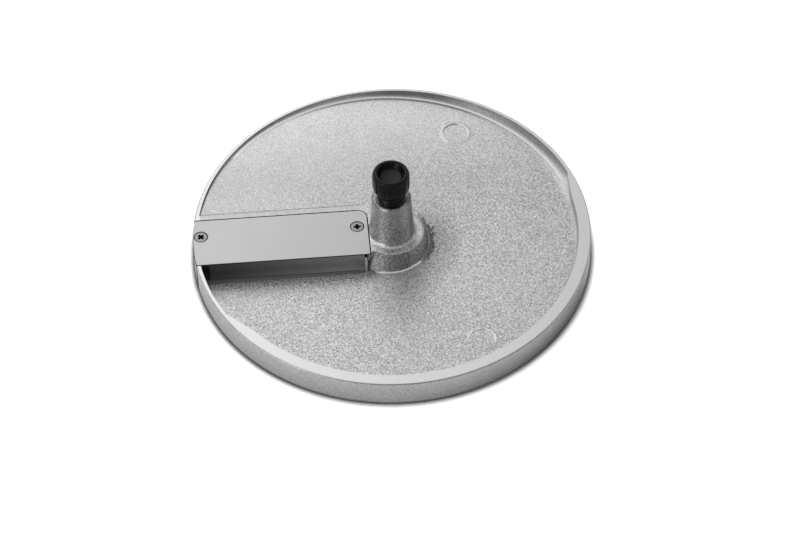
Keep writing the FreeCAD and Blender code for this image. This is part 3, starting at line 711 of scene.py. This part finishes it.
    def slot_faces(self, sheet, place):
        """Masks in the slot, on its shore and in the blade's seat: the slot's wall, and painted
        light and shade.
        """
        times, between, ramp, fall = sheet.times, sheet.between, sheet.ramp, sheet.fall
        across, along, height = place["Across"], place["Along"], place["Height"]
        over, left = place["Over"], place["Left"]
        reach = BLADE_GAP + 0.15
        in_seat = times(between(along, -BLADE_HALF - reach, BLADE_HALF + reach),
                        fall(across, BLADE_INNER + reach, BLADE_INNER + reach + 0.1))
        off_corner = sheet.most(
            sheet.math("MINIMUM", sheet.less(BLADE_INNER - 4.5, across), 1.0),
            fall(along, BLADE_HALF - 5.5, BLADE_HALF - 4.5))
        seat_sides = between(over, -BLADE_THICK - 0.2, -0.04, 0.02)
        seat_top = times(off_corner, ramp(over, -0.3, -0.1))
        in_slot = times(left, between(along, SLOT_EDGE - 0.2, SLOT_WALL + 0.3))
        slot_end = (SLOT_OUTER - 0.2, SLOT_OUTER + 0.2)
        # Painted light: slot_shore and slot_lit on the shore, and the web's highlight; painted
        # shade: gap, in the seat under the blade and at the slot's outer end
        return {
            "slot_shore": times(left, between(along, SLOT_EDGE - 5.5, SLOT_EDGE + 0.5, 2.0)),
            "slot_lit": times(left, between(along, SLOT_EDGE - 3.0, SLOT_EDGE + 0.5, 1.0)),
            "slot_wall": times(in_slot, between(along, SLOT_WALL - 0.3, SLOT_WALL + 0.3),
                               ramp(across, *slot_end)),
            "web": times(between(across, SLOT_INNER - 0.1, SLOT_INNER + 0.75),
                         between(along, *self.WEB_ALONG), ramp(height, 4.0, 6.0)),
            "gap": sheet.most(times(in_seat, sheet.most(seat_sides, seat_top)),
                              times(in_slot, ramp(across, *slot_end, 0.95, 0.0),
                                    fall(height, 11.5, 12.5))),
        }


class DISC_OT_finish_blade(bpy.types.Operator):
    """Give the blade its satin steel and the hidden stud its plain steel"""
    bl_idname = "disc.finish_blade"
    bl_label = "Finish the blade"

    # Brushed lines run along the blade: scale per millimetre along, across and in height
    BRUSHING = (0.05, 4.0, 4.0)

    def execute(self, context):
        values = context.scene.disc_blade
        _, sheet = new_finish("satin_blade_steel", "blade")
        place = sheet.place()
        stretch = sheet.add("ShaderNodeMapping")
        sheet.feed(stretch.inputs["Vector"], place["Point"])
        stretch.inputs["Scale"].default_value = self.BRUSHING
        brushed = sheet.noise(stretch.outputs[0], 1.0)
        cloud = sheet.noise(place["Point"], 0.03, 1.0, 0.5)
        tone = sheet.plus(sheet.vary(brushed, -0.01, 0.01),
                          sheet.vary(cloud, values.blade - 0.015, values.blade + 0.015))
        roughness = sheet.vary(brushed, values.blade_roughness - 0.02,
                               values.blade_roughness + 0.02)
        # The sides in the seat and the countersinks are painted with shade
        sheet.surface(sheet.blend(self.shaded_sides(sheet, place), tone, values.side_shade),
                      roughness, brushed, 0.002 * MM)

        _, sheet = new_finish("plain_stud_steel", "knob_stud")
        fine = sheet.noise(sheet.place()["Point"], 2.0)
        sheet.surface(sheet.vary(fine, values.screws, values.screws + 0.1),
                      sheet.vary(fine, 0.3, 0.42))
        return {"FINISHED"}

    def shaded_sides(self, sheet, place):
        """Mask of the sides that stand in the seat, and of the countersinks, which take painted
        shade.
        """
        below = sheet.between(place["Height"], RIM_TOP - BLADE_THICK + 0.1, RIM_TOP - 0.05, 0.03)
        bevel_end = BLADE_BEVEL - BLADE_HALF
        side = sheet.times(below, sheet.ramp(place["Along"], bevel_end + 0.1, bevel_end + 0.3),
                           sheet.fall(place["Radius"], RIM_RADIUS - 0.8, RIM_RADIUS - 0.6))
        for middle in SCREW_PLACES:
            apart = sheet.distance(sheet.less(place["Across"], middle),
                                   sheet.less(place["Along"], SCREW_SIDE))
            sink = sheet.times(below, sheet.fall(apart, SCREW_HEAD + 0.6, SCREW_HEAD + 0.7))
            side = sheet.most(side, sink)
        return side


class DISC_OT_make_screws(bpy.types.Operator):
    """Model the two countersunk screws with their cross recess"""
    bl_idname = "disc.make_screws"
    bl_label = "Make the screws"

    TURNS = (41.0, 4.0)
    CROWN = 0.05 * MM
    EDGE = 0.15 * MM
    TAPER = 0.6

    def execute(self, context):
        form = context.scene.disc_screws
        both = bmesh.new()
        for middle, turn in zip(SCREW_PLACES, self.TURNS):
            screw = self.one_screw(form)
            bmesh.ops.rotate(screw, verts=screw.verts, cent=(0, 0, 0),
                             matrix=Matrix.Rotation(math.radians(turn), 3, "Z"))
            bmesh.ops.translate(screw, verts=screw.verts,
                                vec=(middle * MM, SCREW_SIDE * MM, SCREWS_HIGH.z))
            mesh = as_mesh(screw, "one_screw")
            both.from_mesh(mesh)
            bpy.data.meshes.remove(mesh)
        screws = add_piece(both, "screws_crosshead", self.steel(context), 30.0)
        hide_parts("blade_screws")
        return {"FINISHED"}

    def one_screw(self, form):
        """Screw with its face at height 0: a cross pressed into a grid, and rings drawn from it."""
        shape = bmesh.new()
        reach, half = form.recess_reach, form.recess_width / 2
        bmesh.ops.create_grid(shape, x_segments=3, y_segments=3, size=reach)
        for vert in shape.verts:
            for axis in (0, 1):
                if abs(vert.co[axis]) < reach * 0.9:
                    vert.co[axis] = math.copysign(half, vert.co[axis])
        cross = [face for face in shape.faces
                 if min(abs(share) for share in face.calc_center_median().xy) < half]
        sunk = bmesh.ops.extrude_face_region(shape, geom=cross)["geom"]
        floor = [part for part in sunk if isinstance(part, bmesh.types.BMVert)]
        bmesh.ops.delete(shape, geom=cross, context="FACES_ONLY")
        bmesh.ops.scale(shape, verts=floor, vec=(self.TAPER, self.TAPER, 1))
        bmesh.ops.translate(shape, verts=floor, vec=(0, 0, -form.recess_depth))

        bmesh.ops.subdivide_edges(shape, edges=border(shape), cuts=3)
        head = SCREW_HEAD * MM
        cone = head - form.shank_radius
        drawn = cone + self.CROWN + 2 * self.EDGE
        for radius, drop in ((form.flat_radius, 0.0), (head - 2 * self.CROWN, self.CROWN),
                             (head, self.EDGE), (head, self.EDGE), (form.shank_radius, cone),
                             (form.shank_radius, SCREWS_HIGH.z - SCREWS_LOW.z - drawn)):
            made = bmesh.ops.extrude_edge_only(shape, edges=border(shape))["geom"]
            for vert in made:
                if isinstance(vert, bmesh.types.BMVert):
                    share = radius / math.hypot(vert.co.x, vert.co.y)
                    vert.co = (vert.co.x * share, vert.co.y * share, vert.co.z - drop)
        bmesh.ops.holes_fill(shape, edges=border(shape), sides=0)
        return shape

    def steel(self, context):
        """Turned steel, with painted shade in the recess and along the head's edge."""
        values = context.scene.disc_blade
        material, sheet = new_finish("turned_screw_steel")
        place = sheet.place()
        fine = sheet.noise(place["Point"], 2.5)
        top = SCREWS_HIGH.z / MM
        # Painted shade in the cross recess and round the head's edge
        recess = sheet.fall(place["Height"], top - 0.7, top - 0.15)
        edge = sheet.ramp(place["Height"], top - 0.12, top - 0.04, 0.35, 1.0)
        tone = sheet.times(sheet.vary(fine, values.screws - 0.05, values.screws + 0.05), edge)
        sheet.surface(sheet.blend(recess, tone, 0.02), sheet.vary(fine, 0.34, 0.46),
                      fine, 0.02 * MM)
        return material


class DISC_OT_make_knob(bpy.types.Operator):
    """Model the moulded knob with its fluted head and dished top"""
    bl_idname = "disc.make_knob"
    bl_label = "Make the knob"

    STEPS = 240
    BORE = 3.05 * MM
    FIRST_FLUTE = math.radians(6.5)
    HALF_FLUTE = math.radians(5.5)
    FLUTE_REACH = 1.0 * MM
    FLUTE_FADE = 1.4 * MM

    def execute(self, context):
        form = context.scene.disc_knob
        base, top = KNOB_LOW.z, KNOB_HIGH.z
        under, floor = base + form.head_start, top - form.dish_depth
        foot, neck, head = form.foot_radius, form.neck_radius, form.head_radius
        mouth, dish = form.dish_radius, form.dish_floor
        # Each corner: a radius and what is added to it, a height and what is added, in mm
        section = [(radius + out * MM, height + up * MM) for radius, out, height, up in (
            (self.BORE, 0.0, base, 0.0), (foot, -0.25, base, 0.0), (foot, 0.0, base, 0.3),
            (foot, -0.1, base, 0.8), (foot, -0.7, base, 1.5), (neck, 0.1, base, 2.2),
            (neck, 0.0, base, 3.0), (neck, 0.3, base, 3.9),
            (head, -1.9, under, 0.1), (head, -0.9, under, 0.8), (head, -0.25, under, 1.7),
            (head, 0.0, under, 2.8), (head, 0.0, top, -5.5), (head, 0.0, top, -4.0),
            (head, 0.0, top, -2.6), (head, -0.1, top, -1.6), (head, -0.4, top, -0.8),
            (head, -0.9, top, -0.25), (head, -1.5, top, 0.0),
            (mouth, 0.35, top, 0.0), (mouth, 0.0, top, -0.25), (mouth, -0.2, top, -0.7),
            (dish, 0.35, floor, 0.5), (dish, 0.0, floor, 0.1), (dish, -0.4, floor, 0.0),
            (0.0, 0.0, floor, 0.0))]
        shape = turned(section, self.STEPS)
        bmesh.ops.remove_doubles(shape, verts=shape.verts, dist=0.001 * MM)
        self.press_flutes(shape, form, under, top)
        bmesh.ops.holes_fill(shape, edges=border(shape), sides=0)
        knob = add_piece(shape, "knob_moulded", self.plastic(form))
        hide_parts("knob")
        return {"FINISHED"}

    def press_flutes(self, shape, form, under, top):
        """Sink the head's side inwards at each groove, less towards its upper end."""
        pitch = 2 * math.pi / form.flutes
        end = top - self.FLUTE_REACH
        for vert in shape.verts:
            radius = math.hypot(vert.co.x, vert.co.y)
            if radius < form.head_radius - self.FLUTE_REACH or not under < vert.co.z < end:
                continue
            turns = (math.atan2(vert.co.y, vert.co.x) - self.FIRST_FLUTE) / pitch
            off = abs(turns - round(turns)) * pitch
            if off < self.HALF_FLUTE:
                fade = min(1.0, (end - vert.co.z) / self.FLUTE_FADE)
                wave = 0.5 + 0.5 * math.cos(math.pi * off / self.HALF_FLUTE)
                share = (radius - form.flute_depth * fade * wave) / radius
                vert.co.x *= share
                vert.co.y *= share

    def plastic(self, form):
        """Black plastic with the fine skin of its mould."""
        material, sheet = new_finish("moulded_black_plastic")
        point = sheet.place()["Point"]
        skin = sheet.noise(point, 2.2, 3.0)
        patch = sheet.noise(point, 0.25, 1.0, 0.5)
        shader = sheet.surface(sheet.vary(patch, form.black * 0.8, form.black * 1.3),
                               sheet.vary(skin, 0.26, 0.36), skin, 0.015 * MM, metallic=0.0)
        shader.inputs["Specular IOR Level"].default_value = 0.26
        return material


class DISC_OT_cast_details(bpy.types.Operator):
    """Lay the ledge inside the rim, the bead at the hub's foot and the two pin marks"""
    bl_idname = "disc.cast_details"
    bl_label = "Make the cast details"

    # Radius in metres at which a strip is spun, before each of its corners is laid in place
    SPUN_AT = 1.0
    # A strip sinks into the deck at its ends: over how many degrees, and how deep
    FADE, SINK = 18.0, 0.25 * MM
    UNDER = -0.4 * MM
    LEDGE_WIDE = 3.2 * MM
    # How far the ledge's inner edge lies inside the rim's radius at the back, how much further
    # for each degree to the right of there, and at most, in mm
    LEDGE_INNER, LEDGE_DRIFT, LEDGE_DRIFT_MOST = 4.6, 0.5 / 30.0, 0.7
    # Half width and half height of the bead against its radius, and its corners
    BEAD_WIDE, BEAD_RISE, BEAD_CORNERS = 1.3, 0.8, 12
    PIN_STEPS = 96

    def execute(self, context):
        form = context.scene.disc_details
        skin = bpy.data.materials["cast_aluminium_skin"]
        # The ledge and the bead take the painted highlight
        bright = self.edge_highlight(form)
        self.lay_ledge(form, bright)
        self.lay_bead(form, bright)
        for number, mark in enumerate(PIN_MARKS, start=1):
            self.ring_pin_mark(form, skin, mark[0], "pin_mark_%d" % number)
        return {"FINISHED"}

    def edge_highlight(self, form):
        """Cast aluminium with a painted highlight, for the raised edges."""
        material, sheet = new_finish("cast_edge_highlight")
        place = sheet.place()
        fine = sheet.noise(place["Point"], 2.0)
        tone = sheet.vary(fine, form.edge - 0.08, form.edge + 0.08)
        # Painted shade on the ledge's right end
        ledge_shade = sheet.times(sheet.ramp(place["Radius"], 80.0, 90.0),
                           sheet.ramp(place["Angle"], 30.0, 55.0, 0.17, 0.0))
        sheet.surface(sheet.times(tone, sheet.rest(ledge_shade)), sheet.vary(fine, 0.36, 0.46),
                      fine, 0.03 * MM)
        return material

    def lay_strip(self, skin, name, section, start, stop, lay):
        """Section turned about the axis; lay gives its radius in mm and its height at an angle."""
        shape = bmesh.new()
        corners = [shape.verts.new((self.SPUN_AT + off, 0, up)) for off, up in section]
        face = shape.faces.new(corners)
        bmesh.ops.rotate(shape, verts=corners, cent=(0, 0, 0),
                         matrix=Matrix.Rotation(math.radians(start), 3, "Z"))
        bmesh.ops.spin(shape, geom=[face], axis=(0, 0, 1), cent=(0, 0, 0),
                       angle=math.radians(stop - start), steps=round(stop - start))
        for vert in shape.verts:
            turn = math.atan2(vert.co.y, vert.co.x)
            angle = math.degrees(turn)
            radius, height = lay(angle)
            radius = radius * MM + math.hypot(vert.co.x, vert.co.y) - self.SPUN_AT
            fade = min(1.0, (angle - start) / self.FADE, (stop - angle) / self.FADE)
            vert.co = polar(radius, turn, height + vert.co.z * fade - self.SINK * (1 - fade))
        add_piece(shape, name, skin)

    def lay_ledge(self, form, skin):
        """Low ledge along the foot of the rim's wall, which sinks into the deck at its ends."""
        rise, wide = form.ledge_rise, self.LEDGE_WIDE
        section = ((0.0, self.UNDER), (0.0, rise * 0.3), (0.15 * MM, rise * 0.5),
                   (wide * 0.5, rise * 0.8), (wide, rise), (wide, self.UNDER))

        def lay(angle):
            drift = min(max(0.0, 90.0 - angle) * self.LEDGE_DRIFT, self.LEDGE_DRIFT_MOST)
            inner = RIM_RADIUS - self.LEDGE_INNER - drift
            return inner, deck_height(inner - 0.6, angle)

        self.lay_strip(skin, "corner_ledge", section, *form.ledge_span, lay)

    def lay_bead(self, form, skin):
        """Flattened bead where the hub's cone meets the deck in front."""
        wide, rise = form.bead_radius * self.BEAD_WIDE, form.bead_radius * self.BEAD_RISE
        turns = (2 * math.pi * step / self.BEAD_CORNERS for step in range(self.BEAD_CORNERS))
        section = [(wide * math.cos(turn), rise * math.sin(turn)) for turn in turns]

        def lay(angle):
            deck = deck_height(HUB_TOP_RADIUS + 6.5, angle)
            return HUB_TOP_RADIUS + (RIM_TOP - deck / MM) * HUB_SLOPE, deck

        self.lay_strip(skin, "foot_bead", section, *form.bead_span, lay)

    def ring_pin_mark(self, form, skin, angle, name):
        """Low collar with a steep inner side and an outer side that runs out to nothing."""
        section = [(form.pin_radius + off * MM, share * form.pin_rise) for off, share in
                   ((0.0, -0.0004), (0.0, 0.8), (0.12, 1.0), (0.5, 0.9), (2.6, -0.25))]
        shape = turned(section, self.PIN_STEPS)
        bmesh.ops.translate(shape, verts=shape.verts,
                            vec=polar(form.pin_ring, math.radians(angle)))
        for vert in shape.verts:
            place = math.hypot(vert.co.x, vert.co.y) / MM
            vert.co.z += deck_height(place, math.degrees(math.atan2(vert.co.y, vert.co.x)))
        add_piece(shape, name, skin)


class DISC_OT_set_stage(bpy.types.Operator):
    """Set the floor, the lamps, the light tent and the camera"""
    bl_idname = "disc.set_stage"
    bl_label = "Set the stage"

    FLOOR_HALF = 4.0
    FLOOR_HEIGHT = -0.02 * MM
    # Occlusion at which the contact shadow is full and gone, and its two brightnesses
    CONTACT_RAMP = (0.58, 0.97, 0.05, 1.0)
    # Direction of the tent's bright side, and how far from it the glow starts and is full
    TENT_TOP = (-0.2, 0.8, 0.55)
    TENT_REACH = (-0.5, 0.7)

    def execute(self, context):
        studio = context.scene.disc_studio
        self.lay_floor(studio)
        self.hang_lamp("key_lamp", (-0.35, 0.75, 0.85), 0.9, 0.7, studio.key_power)
        self.hang_lamp("side_lamp", (-0.80, -0.62, 0.25), 0.5, 0.4, studio.side_power)
        self.light_tent(context, studio)
        self.place_camera(context, studio)
        context.scene.view_settings.view_transform = "Standard"
        return {"FINISHED"}

    def lay_floor(self, studio):
        """Pale floor with a painted contact shadow where the rim meets it and painted shade under
        the disc.
        """
        shape = bmesh.new()
        bmesh.ops.create_grid(shape, x_segments=1, y_segments=1, size=self.FLOOR_HALF)
        bmesh.ops.translate(shape, verts=shape.verts, vec=(0, 0, self.FLOOR_HEIGHT))
        floor = new_object("floor", as_mesh(shape, "floor"))
        material, sheet = new_finish("pale_floor")
        floor.data.materials.append(material)
        path = sheet.add("ShaderNodeLightPath").outputs
        mirrored = sheet.most(path["Is Glossy Ray"], path["Is Transmission Ray"])
        near = sheet.add("ShaderNodeAmbientOcclusion", samples=8)
        near.inputs["Distance"].default_value = studio.contact
        touching = sheet.ramp(near.outputs["AO"], *self.CONTACT_RAMP)
        # The floor under the disc, seen through the slot, is painted with shade
        beside = sheet.ramp(sheet.place()["Radius"], RIM_RADIUS - 2.0, RIM_RADIUS - 1.0)
        seen = sheet.blend(beside, studio.floor_covered, sheet.times(touching, studio.floor_seen))
        tone = sheet.blend(path["Is Camera Ray"],
                           sheet.blend(mirrored, studio.floor, studio.floor_mirrored), seen)
        paper = sheet.add("ShaderNodeBsdfDiffuse")
        sheet.feed(paper.inputs["Color"], sheet.grey(tone))
        sheet.feed(sheet.nodes["Material Output"].inputs["Surface"], paper.outputs[0])
        sheet.nodes.remove(sheet.nodes["Principled BSDF"])

    def hang_lamp(self, name, place, width, height, power):
        """Soft lamp that faces the disc."""
        lamp = bpy.data.lights.new(name, "AREA")
        lamp.shape = "RECTANGLE"
        lamp.size = width
        lamp.size_y = height
        lamp.energy = power
        aim(new_object(name, lamp), place, (0, 0, 0))

    def light_tent(self, context, studio):
        """Light from all round, less of it from the open front; the camera sees white."""
        world = bpy.data.worlds.new("light_tent")
        world.use_nodes = True
        context.scene.world = world
        sheet = NodeSheet(world.node_tree)
        towards = sheet.add("ShaderNodeVectorMath", operation="DOT_PRODUCT")
        sheet.feed(towards.inputs[0], sheet.add("ShaderNodeTexCoord").outputs["Generated"])
        towards.inputs[1].default_value = Vector(self.TENT_TOP).normalized()
        glow = sheet.ramp(towards.outputs["Value"], *self.TENT_REACH, studio.front, studio.sky,
                          smooth=True)
        seen = sheet.add("ShaderNodeLightPath").outputs["Is Camera Ray"]
        sheet.feed(sheet.nodes["Background"].inputs["Color"],
                   sheet.grey(sheet.blend(seen, glow, 1.0)))

    def place_camera(self, context, studio):
        data = bpy.data.cameras.new("camera")
        data.lens = studio.lens
        data.sensor_width = 36.0
        data.clip_start = 0.05
        data.clip_end = 20.0
        camera = new_object("camera", data)
        aim(camera, studio.camera_place, studio.camera_aim, studio.camera_roll)
        context.scene.camera = camera


class DISC_PT_panel(bpy.types.Panel):
    """Steps that dress the slicing disc"""
    bl_idname = "DISC_PT_panel"
    bl_label = "Slicing Disc"
    bl_space_type = "VIEW_3D"
    bl_region_type = "UI"
    bl_category = "Slicing Disc"

    def draw(self, context):
        for step in STEPS:
            self.layout.operator(step.bl_idname)


SETTINGS = (("disc_casting", CastingFinish), ("disc_blade", BladeFinish),
            ("disc_screws", ScrewForm), ("disc_knob", KnobForm),
            ("disc_details", CastDetails), ("disc_studio", StudioSet))
STEPS = (DISC_OT_finish_casting, DISC_OT_finish_blade, DISC_OT_make_screws,
         DISC_OT_make_knob, DISC_OT_cast_details, DISC_OT_set_stage)


def register():
    for name, group in SETTINGS:
        bpy.utils.register_class(group)
        setattr(bpy.types.Scene, name, PointerProperty(type=group))
    for step in STEPS:
        bpy.utils.register_class(step)
    bpy.utils.register_class(DISC_PT_panel)


def unregister():
    bpy.utils.unregister_class(DISC_PT_panel)
    for step in reversed(STEPS):
        bpy.utils.unregister_class(step)
    for name, group in reversed(SETTINGS):
        delattr(bpy.types.Scene, name)
        bpy.utils.unregister_class(group)


def main():
    register()
    bpy.ops.disc.finish_casting()
    bpy.ops.disc.finish_blade()
    bpy.ops.disc.make_screws()
    bpy.ops.disc.make_knob()
    bpy.ops.disc.cast_details()
    bpy.ops.disc.set_stage()


if __name__ == "__main__":
    main()
